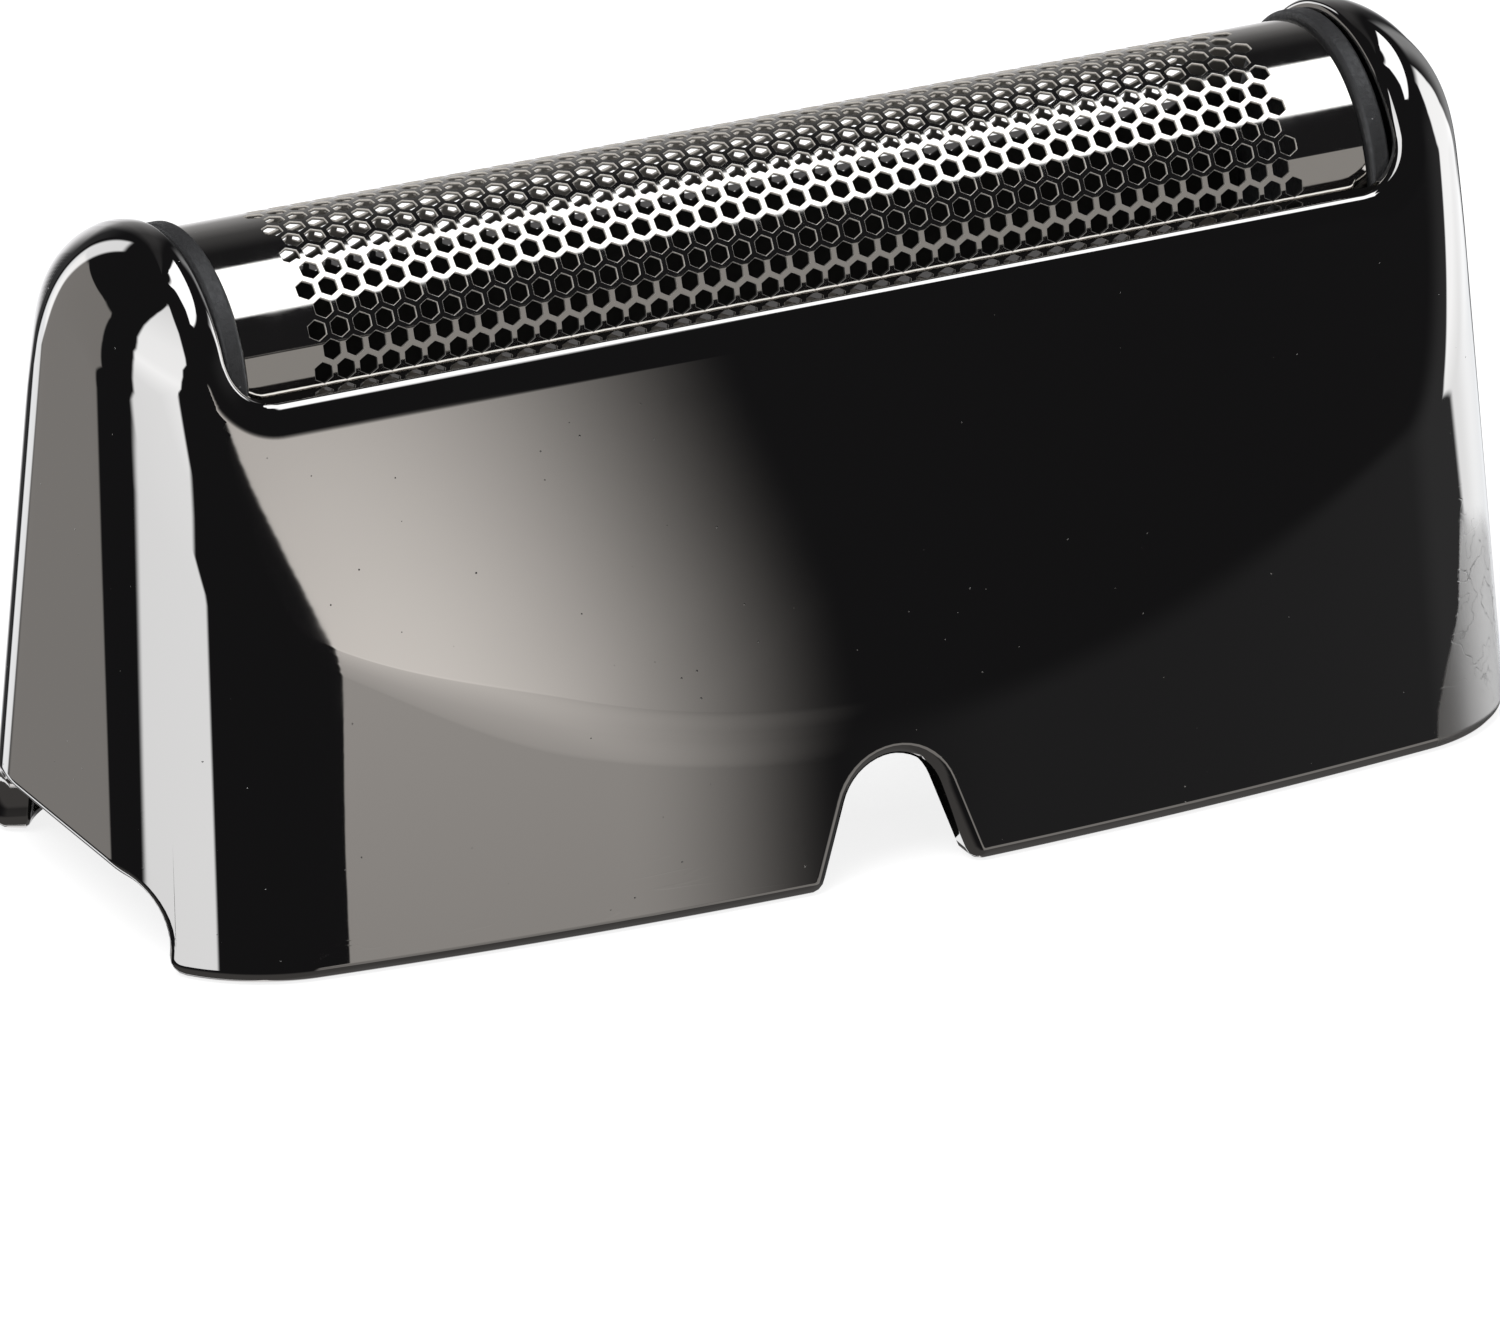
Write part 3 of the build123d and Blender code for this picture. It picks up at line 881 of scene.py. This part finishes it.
def foil_sheet(settings):
    """Perforated sheet as a lattice of six-sided cells on a half round with straight skirts.

    A point (x, s, d) of the flat sheet, with s the length from the top line and d the depth, goes to
    y = (R - d) sin(s / R), z = h + (R - d) cos(s / R), and straight down where s passes a quarter turn.
    Cells in the field of holes are rings with a rounded inner edge, and the others are closed. The inner
    side repeats the outer one at the sheet's thickness, and every open edge gets a wall.
    """
    radius, thick = mm(settings.radius), mm(settings.thickness)
    half, quarter = mm(settings.foil_length) / 2, np.pi / 2 * mm(settings.radius)
    reach = quarter + mm(settings.skirt)
    pitch, rise = mm(settings.hole_pitch), radius * settings.row_angle
    stretch = np.array([1.0, rise / (pitch * np.sin(np.pi / 3))])
    rows, columns = int(reach / rise) + 2, int(half / pitch) + 2
    j, k = np.meshgrid(np.arange(-rows, rows + 1), np.arange(-columns, columns + 1), indexing="ij")
    longer = (j - (settings.rows - 1) // 2) % 2 == 0
    middle = np.stack([(k + np.where(longer, 0.0, 0.5)) * pitch, j * rise], -1).reshape(-1, 2)
    most = (settings.columns - 1) / 2 - np.where(longer, 0.0, 0.5).ravel()
    holed = (np.abs(j.ravel()) <= (settings.rows - 1) // 2) & (np.abs(middle[:, 0]) < (most + 0.1) * pitch)
    limit = np.array([half, reach])
    cell = np.clip(middle[:, None] + six_sided(pitch, 1.0) * stretch, -limit, limit)
    ahead = np.roll(cell, -1, 1)
    area = np.sum(cell[..., 0] * ahead[..., 1] - ahead[..., 0] * cell[..., 1], 1) / 2
    kept = area > 0.002
    cell, middle, holed = cell[kept], middle[kept], holed[kept]
    corners, index = np.unique(np.round(cell.reshape(-1, 2), 4), axis=0, return_inverse=True)
    index = index.reshape(-1, 12)
    width, bevel = mm(settings.hole_width), mm(settings.hole_bevel)
    shoulder = middle[holed][:, None] + six_sided(width + 2 * bevel, 0.99) * stretch
    mouth = middle[holed][:, None] + six_sided(width, 0.98) * stretch
    flat = np.vstack([corners, shoulder.reshape(-1, 2), mouth.reshape(-1, 2), cell[~holed].mean(1)])
    count, ring = len(corners), np.arange(holed.sum() * 12).reshape(-1, 12)
    outer, inner = count + ring, count + ring.size + ring
    hubs = count + 2 * ring.size + np.arange((~holed).sum())

    def turn(block):
        return np.roll(block, -1, 1)

    bars = np.stack([index[holed], turn(index[holed]), turn(outer), outer], -1).reshape(-1, 4)
    edges = np.stack([outer, turn(outer), turn(inner), inner], -1).reshape(-1, 4)
    closed = index[~holed]
    fans = np.stack([closed, turn(closed), np.broadcast_to(hubs[:, None], closed.shape)], -1).reshape(-1, 3)
    fans = fans[fans[:, 0] != fans[:, 1]]
    quads = np.vstack([bars, edges])
    pairs = np.vstack([np.stack([face, np.roll(face, -1, 1)], -1).reshape(-1, 2) for face in (quads, fans)])
    _, place, times = np.unique(np.sort(pairs, 1), axis=0, return_index=True, return_counts=True)
    rim = pairs[place[times == 1]]
    total = len(flat)
    walls = np.stack([rim[:, 1], rim[:, 0], rim[:, 0] + total, rim[:, 1] + total], -1)
    depth = np.zeros(total)
    depth[inner.ravel()] = bevel
    inward = np.zeros((total, 2))
    inward[inner.ravel()] = unit(np.repeat(middle[holed], 12, 0) - mouth.reshape(-1, 2))
    bend = np.clip(flat[:, 1], -quarter, quarter) / radius
    normal = np.stack([np.zeros(total), np.sin(bend), np.cos(bend)], -1)
    along = np.stack([np.zeros(total), np.cos(bend), -np.sin(bend)], -1)
    slope = inward[:, :1] * np.array([1.0, 0.0, 0.0]) + inward[:, 1:] * along

    def curved(deep):
        drop = np.abs(flat[:, 1]) - np.abs(bend) * radius
        top = np.stack([flat[:, 0], np.zeros(total), mm(settings.axis_height) - drop], -1)
        return top + (radius - deep)[:, None] * normal

    points = np.vstack([curved(depth), curved(np.full(total, thick))])
    normals = np.vstack([unit(normal + slope), unit(0.6 * slope - normal)])
    lining = np.concatenate([(depth > 0.0).astype(float), np.ones(total)])
    return points, [quads, fans, quads[:, ::-1] + total, fans[:, ::-1] + total, walls], normals, lining


class FOILHEAD_OT_foil(Operator):
    """Perforated foil with its skirts"""

    bl_idname = "foilhead.foil"
    bl_label = "Foil"

    def execute(self, context):
        settings = context.scene.foilhead_foil
        points, faces, normals, lining = foil_sheet(settings)
        piece = put_mesh("foil_sheet", points, faces, normals, "foil")
        put_attribute(piece, "inner_side", lining)
        piece.data.materials.append(foil_material(settings))
        return {"FINISHED"}


class FOILHEAD_OT_carrier(Operator):
    """Black carrier: two cheeks, two rails with stakes, and a lug behind each cheek"""

    bl_idname = "foilhead.carrier"
    bl_label = "Foil carrier"

    def execute(self, context):
        settings, foil = context.scene.foilhead_carrier, context.scene.foilhead_foil
        edge = mm(settings.edge_round)
        foot, axis = mm(settings.foot_height), mm(foil.axis_height)
        inner = mm(settings.cheek_inner)
        outer = inner + mm(settings.cheek_thickness)
        radius, foil_radius = mm(settings.cheek_radius), mm(foil.radius)
        turn = np.linspace(0.0, np.pi, 61)
        arch = np.stack([radius * np.cos(turn), axis + radius * np.sin(turn)], -1)
        feet = rounded_path([arch[-1], (-radius, foot), (radius, foot), arch[0]], [0.3, 0.3])
        cheek = np.vstack([arch, feet[1:-1]])
        parts = [(cheek, inner, outer, edge, 0), (cheek, -outer, -inner, edge, 0)]
        rail = (mm(settings.rail_thickness) / 2, mm(settings.rail_height) / 2)
        lug_half = (mm(settings.lug_width) / 2, mm(settings.lug_height) / 2)
        lug = rounded_rectangle((0.0, foot + lug_half[1]), lug_half, 0.25)
        for side in (-1.0, 1.0):
            middle = (side * (foil_radius + rail[0]), foot + rail[1])
            parts.append((rounded_rectangle(middle, rail, 0.2), -outer, outer, edge, 0))
            ends = sorted((side * (outer - 0.2), side * (outer + mm(settings.lug_length))))
            parts.append((lug, ends[0], ends[1], edge, 0))
        level = (axis - mm(foil.skirt) + foot + mm(settings.rail_height)) / 2
        spacing = mm(foil.foil_length) / settings.stakes
        around = np.linspace(0.0, 2 * np.pi, 25)[:-1]
        circle = np.stack([np.cos(around), np.sin(around)], -1)
        skin, head_height = foil_radius - mm(foil.thickness), mm(settings.head_height)
        stem_ring, head_ring = mm(settings.stake_radius) * circle, mm(settings.head_radius) * circle
        for number in range(settings.stakes):
            middle = np.array([level, (number - (settings.stakes - 1) / 2) * spacing])
            for side in (-1.0, 1.0):
                stem = sorted((side * (skin - 0.05), side * (foil_radius + 0.3)))
                head = sorted((side * (skin - head_height), side * skin))
                parts.append((middle + stem_ring, *stem, 0.05, 1))
                parts.append((middle + head_ring, *head, head_height / 2, 1))
        blocks, tilts, faces = [], [], []
        for part in parts:
            add_prism(part, blocks, tilts, faces)
        points, normals = np.vstack(blocks), np.vstack(tilts)
        piece = put_mesh("carrier_moulding", points, faces, normals, "foil_carrier")
        piece.data.materials.append(carrier_material(settings))
        return {"FINISHED"}


# Panels that the plating mirrors, as edges by elevation: (elevation, left azimuth, right azimuth) in degrees.
# Azimuth 0 is straight out of the front and grows towards +X.
LEFT_PANEL = [
    (-17.5, -112, -104), (-15, -105.5, -84), (-13, -99.5, -66), (-11, -93.5, -56), (-7, -85, -55),
    (-3, -83, -45), (1, -80, -35.3), (5, -77.5, -30), (7, -76, -26), (11, -74.5, -23.5), (14, -71, -20.8),
    (18, -69, -19), (22, -68, -13), (26, -65, -12), (34, -59, -12), (42, -50.5, -12), (50, -40, -14),
    (58, -26, -16), (61, -21, -17)]
RIGHT_PANEL = [
    (-22, 124, 145), (-19, 100, 130), (-15, 88, 113), (-11, 71, 107), (-9, 69, 104), (-7, 68, 101),
    (-5, 67, 98.5), (0, 66.5, 94), (3, 64.5, 91.5), (9, 63, 89.5), (14, 63, 87.5), (18, 63, 85.8),
    (26, 66, 84.8), (32, 70, 84.8)]
RIGHT_GREY_PANEL = [(-18, 104, 128), (0, 99, 128), (34, 97, 128)]
TOP_PANEL = [(48.5, 30, 62), (51, 22, 122), (60, 30, 118), (75, 30, 110), (80, 20, 100)]
FRONT_PANEL = [
    (-14, 10.3, 21.3), (-9.6, 11.4, 21.3), (-9.1, 11.65, 21.3), (-5.7, 12.43, 21.4), (0, 14.0, 21.5),
    (3.5, 15.12, 21.7), (6.7, 16.2, 22.1), (8.8, 16.98, 22.3), (10.8, 17.78, 22.3), (11.69, 18.11, 21.4),
    (12.3, 17.32, 20.8), (14, 16.0, 19.0)]
BACK_LEFT_PANEL = [
    (-24, -158, -152), (-20, -164, -146), (-16, -170, -137), (-12, -172, -125), (-6, -172, -121),
    (1, -172, -116.5), (11, -172, -112), (17, -160, -109), (20, -138, -107), (23, -124, -107)]


def soft_panel(net, azimuth, elevation, rows, soft, fade):
    """Mask of a panel: 1 between its left and right edges, which are read by elevation, with soft sides, and
    fading out over a few degrees past its lowest and highest row."""
    low, high = rows[0][0], rows[-1][0]
    t = net.add("ShaderNodeMapRange", {"Value": elevation, "From Min": low, "From Max": high}).outputs[0]
    share_up = [(row[0] - low) / (high - low) for row in rows]
    edges = []
    for column in (1, 2):
        points = [(up, (row[column] + 180.0) / 360.0) for up, row in zip(share_up, rows)]
        edges.append(net.scaled(net.curve(t, points), 360.0, -180.0))
    left = net.step(azimuth, net.math("SUBTRACT", edges[0], soft[0]), net.math("ADD", edges[0], soft[0]))
    right = net.step(azimuth, net.math("ADD", edges[1], soft[1]), net.math("SUBTRACT", edges[1], soft[1]))
    bottom = net.step(elevation, low - fade[0], low + fade[0])
    top = net.step(elevation, high + fade[1], high - fade[1])
    return net.times(net.times(left, right), net.times(bottom, top))


def surround_group(panel_light):
    """Studio round the object, by direction: dark, with white panels at the left, the right and above, a
    warm grey card at the front and a backdrop that grows paler towards the table."""
    group, net, given, out = new_group("Studio surround", [("Direction", VECTOR)], [("Colour", COLOUR)])
    parts = net.add("ShaderNodeSeparateXYZ", {"Vector": given["Direction"]}).outputs
    round_z = net.math("ARCTAN2", parts[0], net.times(parts[1], -1.0))
    azimuth = net.math("DEGREES", round_z)
    elevation = net.math("DEGREES", net.math("ARCSINE", parts[2]))
    white, warm = (0.97, 1.0, 1.035), (1.03, 1.0, 0.97)

    def panel(rows, soft, fade):
        return soft_panel(net, azimuth, elevation, rows, soft, fade)

    def by_elevation(low, high, points):
        t = net.add("ShaderNodeMapRange", {"Value": elevation, "From Min": low, "From Max": high}).outputs[0]
        return net.curve(t, points)

    even = [(0.0, 0.74), (0.24, 0.8), (0.36, 1.0), (0.42, 0.94), (0.6, 0.92), (1.0, 0.75)]
    even = by_elevation(-20.0, 60.0, even)
    shown = [(net.times(panel(LEFT_PANEL, (2.0, 1.2), (1.5, 2.0)), even), white, panel_light)]
    dim_foot = by_elevation(-20.0, 0.0, [(0.0, 0.72), (0.3, 0.8), (0.6, 1.0), (1.0, 1.0)])
    shown.append((net.times(panel(RIGHT_PANEL, (1.5, 1.5), (1.5, 4.0)), dim_foot), white, panel_light))
    shown.append((panel(RIGHT_GREY_PANEL, (12.0, 8.0), (3.0, 4.0)), white, 0.33))
    shown.append((panel(TOP_PANEL, (2.0, 2.0), (1.2, 2.0)), white, 1.2 * panel_light))
    rise = [
        (0.0, 0.39), (0.03, 0.42), (0.08, 0.45), (0.24, 0.49), (0.4, 0.53), (0.6, 0.61), (0.76, 0.68),
        (0.82, 0.71), (0.845, 0.96), (0.86, 0.91), (0.868, 0.865), (0.88, 0.78), (0.892, 0.7), (1.0, 0.6)]
    card = panel(FRONT_PANEL, (0.02, 2.95), (6.0, 2.0))
    shown.append((net.times(card, by_elevation(-10.0, 15.0, rise)), warm, 1.0))
    shown.append((panel(BACK_LEFT_PANEL, (3.0, 1.5), (2.0, 1.5)), warm, 0.26))
    behind = net.times(net.step(azimuth, 138.0, 154.0), net.step(azimuth, 174.0, 162.0))
    strip = net.times(net.step(azimuth, -163.0, -166.0), net.step(azimuth, -178.0, -175.0))
    far_left = net.times(strip, net.step(elevation, 43.0, 38.0))
    shown.append((far_left, white, 1.15))
    ahead = net.times(net.step(azimuth, 8.0, 14.0), net.step(azimuth, 70.0, 56.0))
    edge_of_table = net.times(net.step(elevation, -12.8, -16.5), net.step(elevation, -34.0, -28.0))
    shown.append((net.times(edge_of_table, ahead), warm, 0.24))
    table = net.times(net.step(elevation, -24.0, -40.0), net.math("SUBTRACT", 1.0, behind))
    shown.append((table, warm, 0.055))
    shown.append((net.times(net.step(azimuth, 30.0, 60.0), net.step(elevation, 30.0, 10.0)), white, 0.02))
    shown.append((net.times(net.step(azimuth, 23.0, 29.0), net.step(elevation, 7.0, -7.0)), white, 0.010))
    glow = [
        (0.0, 0.95), (0.17, 0.92), (0.27, 0.62), (0.37, 0.3), (0.47, 0.2), (0.57, 0.12), (0.7, 0.05),
        (1.0, 0.02)]
    shown.append((net.times(behind, by_elevation(-30.0, 60.0, glow)), (1.0, 1.0, 1.02), 1.0))
    total = None
    for mask, tint, strength in shown:
        inputs = {0: tint, "Scale": net.times(mask, strength)}
        light = net.add("ShaderNodeVectorMath", inputs, operation="SCALE").outputs[0]
        base = (0.011, 0.011, 0.012) if total is None else total
        total = net.add("ShaderNodeVectorMath", {0: base, 1: light}, operation="ADD").outputs[0]
    net.feed(out["Colour"], total)
    return group


def studio_world(settings):
    """White for the camera, the studio surround for mirrored and refracted rays, and an even fill for matt
    ones."""
    world = bpy.data.worlds.new("studio")
    world.use_nodes = True
    world.cycles.sampling_method = "NONE"
    net = Wiring(world.node_tree)
    path = net.add("ShaderNodeLightPath").outputs
    direction = net.add("ShaderNodeTexCoord").outputs["Generated"]
    surround = net.add("ShaderNodeGroup", node_tree=surround_group(settings.panel_light))
    net.feed(surround.inputs[0], direction)
    mirrored = net.math("MAXIMUM", path["Is Glossy Ray"], path["Is Transmission Ray"])
    fill = net.mix(mirrored, (settings.fill, settings.fill, settings.fill, 1.0), surround.outputs[0])
    seen = net.mix(path["Is Camera Ray"], fill, (1.0, 1.0, 1.0, 1.0))
    back = net.add("ShaderNodeBackground", {"Color": seen, "Strength": 1.0})
    net.feed(net.add("ShaderNodeOutputWorld").inputs["Surface"], back.outputs[0])
    return world


def floor_material(settings):
    """Pale floor that the camera sees as white, less the object's shadow."""
    material = bpy.data.materials.new("floor_pale")
    material.use_nodes = True
    net = Wiring(material.node_tree)
    camera = net.add("ShaderNodeLightPath").outputs["Is Camera Ray"]
    pale = (*settings.floor_colour, 1.0)
    matt = net.add("ShaderNodeBsdfDiffuse", {"Color": pale})
    dim = net.add("ShaderNodeBsdfDiffuse", {"Color": (0.26, 0.26, 0.26, 1.0)})
    white = net.add("ShaderNodeEmission", {"Color": (1.0, 1.0, 1.0, 1.0), "Strength": 0.84})
    both = net.add("ShaderNodeAddShader", {0: dim.outputs[0], 1: white.outputs[0]})
    mix = net.add("ShaderNodeMixShader", {0: camera, 1: matt.outputs[0], 2: both.outputs[0]})
    net.feed(net.add("ShaderNodeOutputMaterial").inputs["Surface"], mix.outputs[0])
    return material


class FOILHEAD_OT_stage(Operator):
    """Pale floor, soft light and camera"""

    bl_idname = "foilhead.stage"
    bl_label = "Stage"

    def execute(self, context):
        scene = context.scene
        settings = scene.foilhead_stage
        turn = np.linspace(0.0, 2 * np.pi, 97)[:-1]
        rings = np.linspace(0.02, settings.floor_radius, 12)[:, None]
        flat = np.stack([rings * np.cos(turn), rings * np.sin(turn), np.zeros_like(rings * turn)], -1)
        points = np.vstack([flat.reshape(-1, 3), [[0.0, 0.0, 0.0]]])
        i, j = np.arange(11)[:, None] * 96, np.arange(96)
        right = (j + 1) % 96
        faces = np.stack([i + j, i + 96 + j, i + 96 + right, i + right], -1).reshape(-1, 4).tolist()
        hub = np.stack([j, right, np.full(96, len(points) - 1)], -1).tolist()
        mesh = bpy.data.meshes.new("floor")
        mesh.from_pydata(points, [], faces + hub)
        floor = bpy.data.objects.new("floor", mesh)
        scene.collection.objects.link(floor)
        mesh.materials.append(floor_material(settings))
        floor.visible_glossy = False
        self.shade(scene)
        lamp = bpy.data.lights.new("key_lamp", "AREA")
        lamp.shape = "RECTANGLE"
        lamp.size, lamp.size_y = 0.5, 0.4
        lamp.energy = settings.key_power
        key = bpy.data.objects.new("key_lamp", lamp)
        key.location = (-0.25, -0.15, 0.6)
        key.rotation_euler = (np.radians(-14.0), np.radians(-22.6), 0.0)
        key.visible_glossy = False
        scene.collection.objects.link(key)
        scene.world = studio_world(settings)
        lens = bpy.data.cameras.new("camera")
        lens.lens = settings.focal_length
        lens.sensor_width = 36.0
        lens.clip_start, lens.clip_end = 0.01, 10.0
        camera = bpy.data.objects.new("camera", lens)
        camera.location = settings.camera_place
        camera.rotation_euler = settings.camera_turn
        scene.collection.objects.link(camera)
        scene.camera = camera
        scene.view_settings.view_transform = "Standard"
        return {"FINISHED"}

    def shade(self, scene):
        """Dark sheet on the floor inside the hood's lower edge, which only mirrored rays see."""
        ring = rounded_rectangle((0.0, 0.0), (25.6, 9.4), 5.0) * 0.001
        level = 0.00002
        points = np.pad(np.vstack([ring, [[0.0, 0.0]]]), ((0, 0), (0, 1)), constant_values=level)
        j = np.arange(len(ring))
        faces = np.stack([j, (j + 1) % len(ring), np.full(len(ring), len(ring))], -1).tolist()
        mesh = bpy.data.meshes.new("inner_shade")
        mesh.from_pydata(points, [], faces)
        sheet = bpy.data.objects.new("inner_shade", mesh)
        scene.collection.objects.link(sheet)
        material = bpy.data.materials.new("inner_shade_dark")
        material.use_nodes = True
        net = Wiring(material.node_tree)
        dark = net.add("ShaderNodeBsdfDiffuse", {"Color": (0.02, 0.02, 0.02, 1.0)})
        net.feed(net.add("ShaderNodeOutputMaterial").inputs["Surface"], dark.outputs[0])
        mesh.materials.append(material)
        sheet.visible_camera = False
        sheet.visible_diffuse = False
        sheet.visible_shadow = False


class FOILHEAD_PT_panel(Panel):
    """Sidebar panel that lists the pieces and their settings"""

    bl_idname = "FOILHEAD_PT_panel"
    bl_label = "Shaver Foil Head"
    bl_space_type = "VIEW_3D"
    bl_region_type = "UI"
    bl_category = "Foil Head"

    def draw(self, context):
        rows = [
            (FOILHEAD_OT_hood, context.scene.foilhead_hood),
            (FOILHEAD_OT_foil, context.scene.foilhead_foil),
            (FOILHEAD_OT_carrier, context.scene.foilhead_carrier),
            (FOILHEAD_OT_stage, context.scene.foilhead_stage),
        ]
        for operator, settings in rows:
            box = self.layout.box()
            box.operator(operator.bl_idname)
            for name in settings.__annotations__:
                box.prop(settings, name)


SETTINGS = {
    "foilhead_hood": HoodSettings,
    "foilhead_foil": FoilSettings,
    "foilhead_carrier": CarrierSettings,
    "foilhead_stage": StageSettings,
}
CLASSES = (
    *SETTINGS.values(), FOILHEAD_OT_hood, FOILHEAD_OT_foil, FOILHEAD_OT_carrier, FOILHEAD_OT_stage,
    FOILHEAD_PT_panel)


def register():
    """Adds the classes and the scene's settings."""
    for cls in CLASSES:
        bpy.utils.register_class(cls)
    for name, group in SETTINGS.items():
        setattr(bpy.types.Scene, name, PointerProperty(type=group))


def unregister():
    """Takes the settings and the classes away again."""
    for name in SETTINGS:
        delattr(bpy.types.Scene, name)
    for cls in reversed(CLASSES):
        bpy.utils.unregister_class(cls)


def main():
    """Builds every piece and the stage."""
    register()
    bpy.ops.foilhead.stage()
    bpy.ops.foilhead.hood()
    bpy.ops.foilhead.foil()
    bpy.ops.foilhead.carrier()


if __name__ == "__main__":
    main()
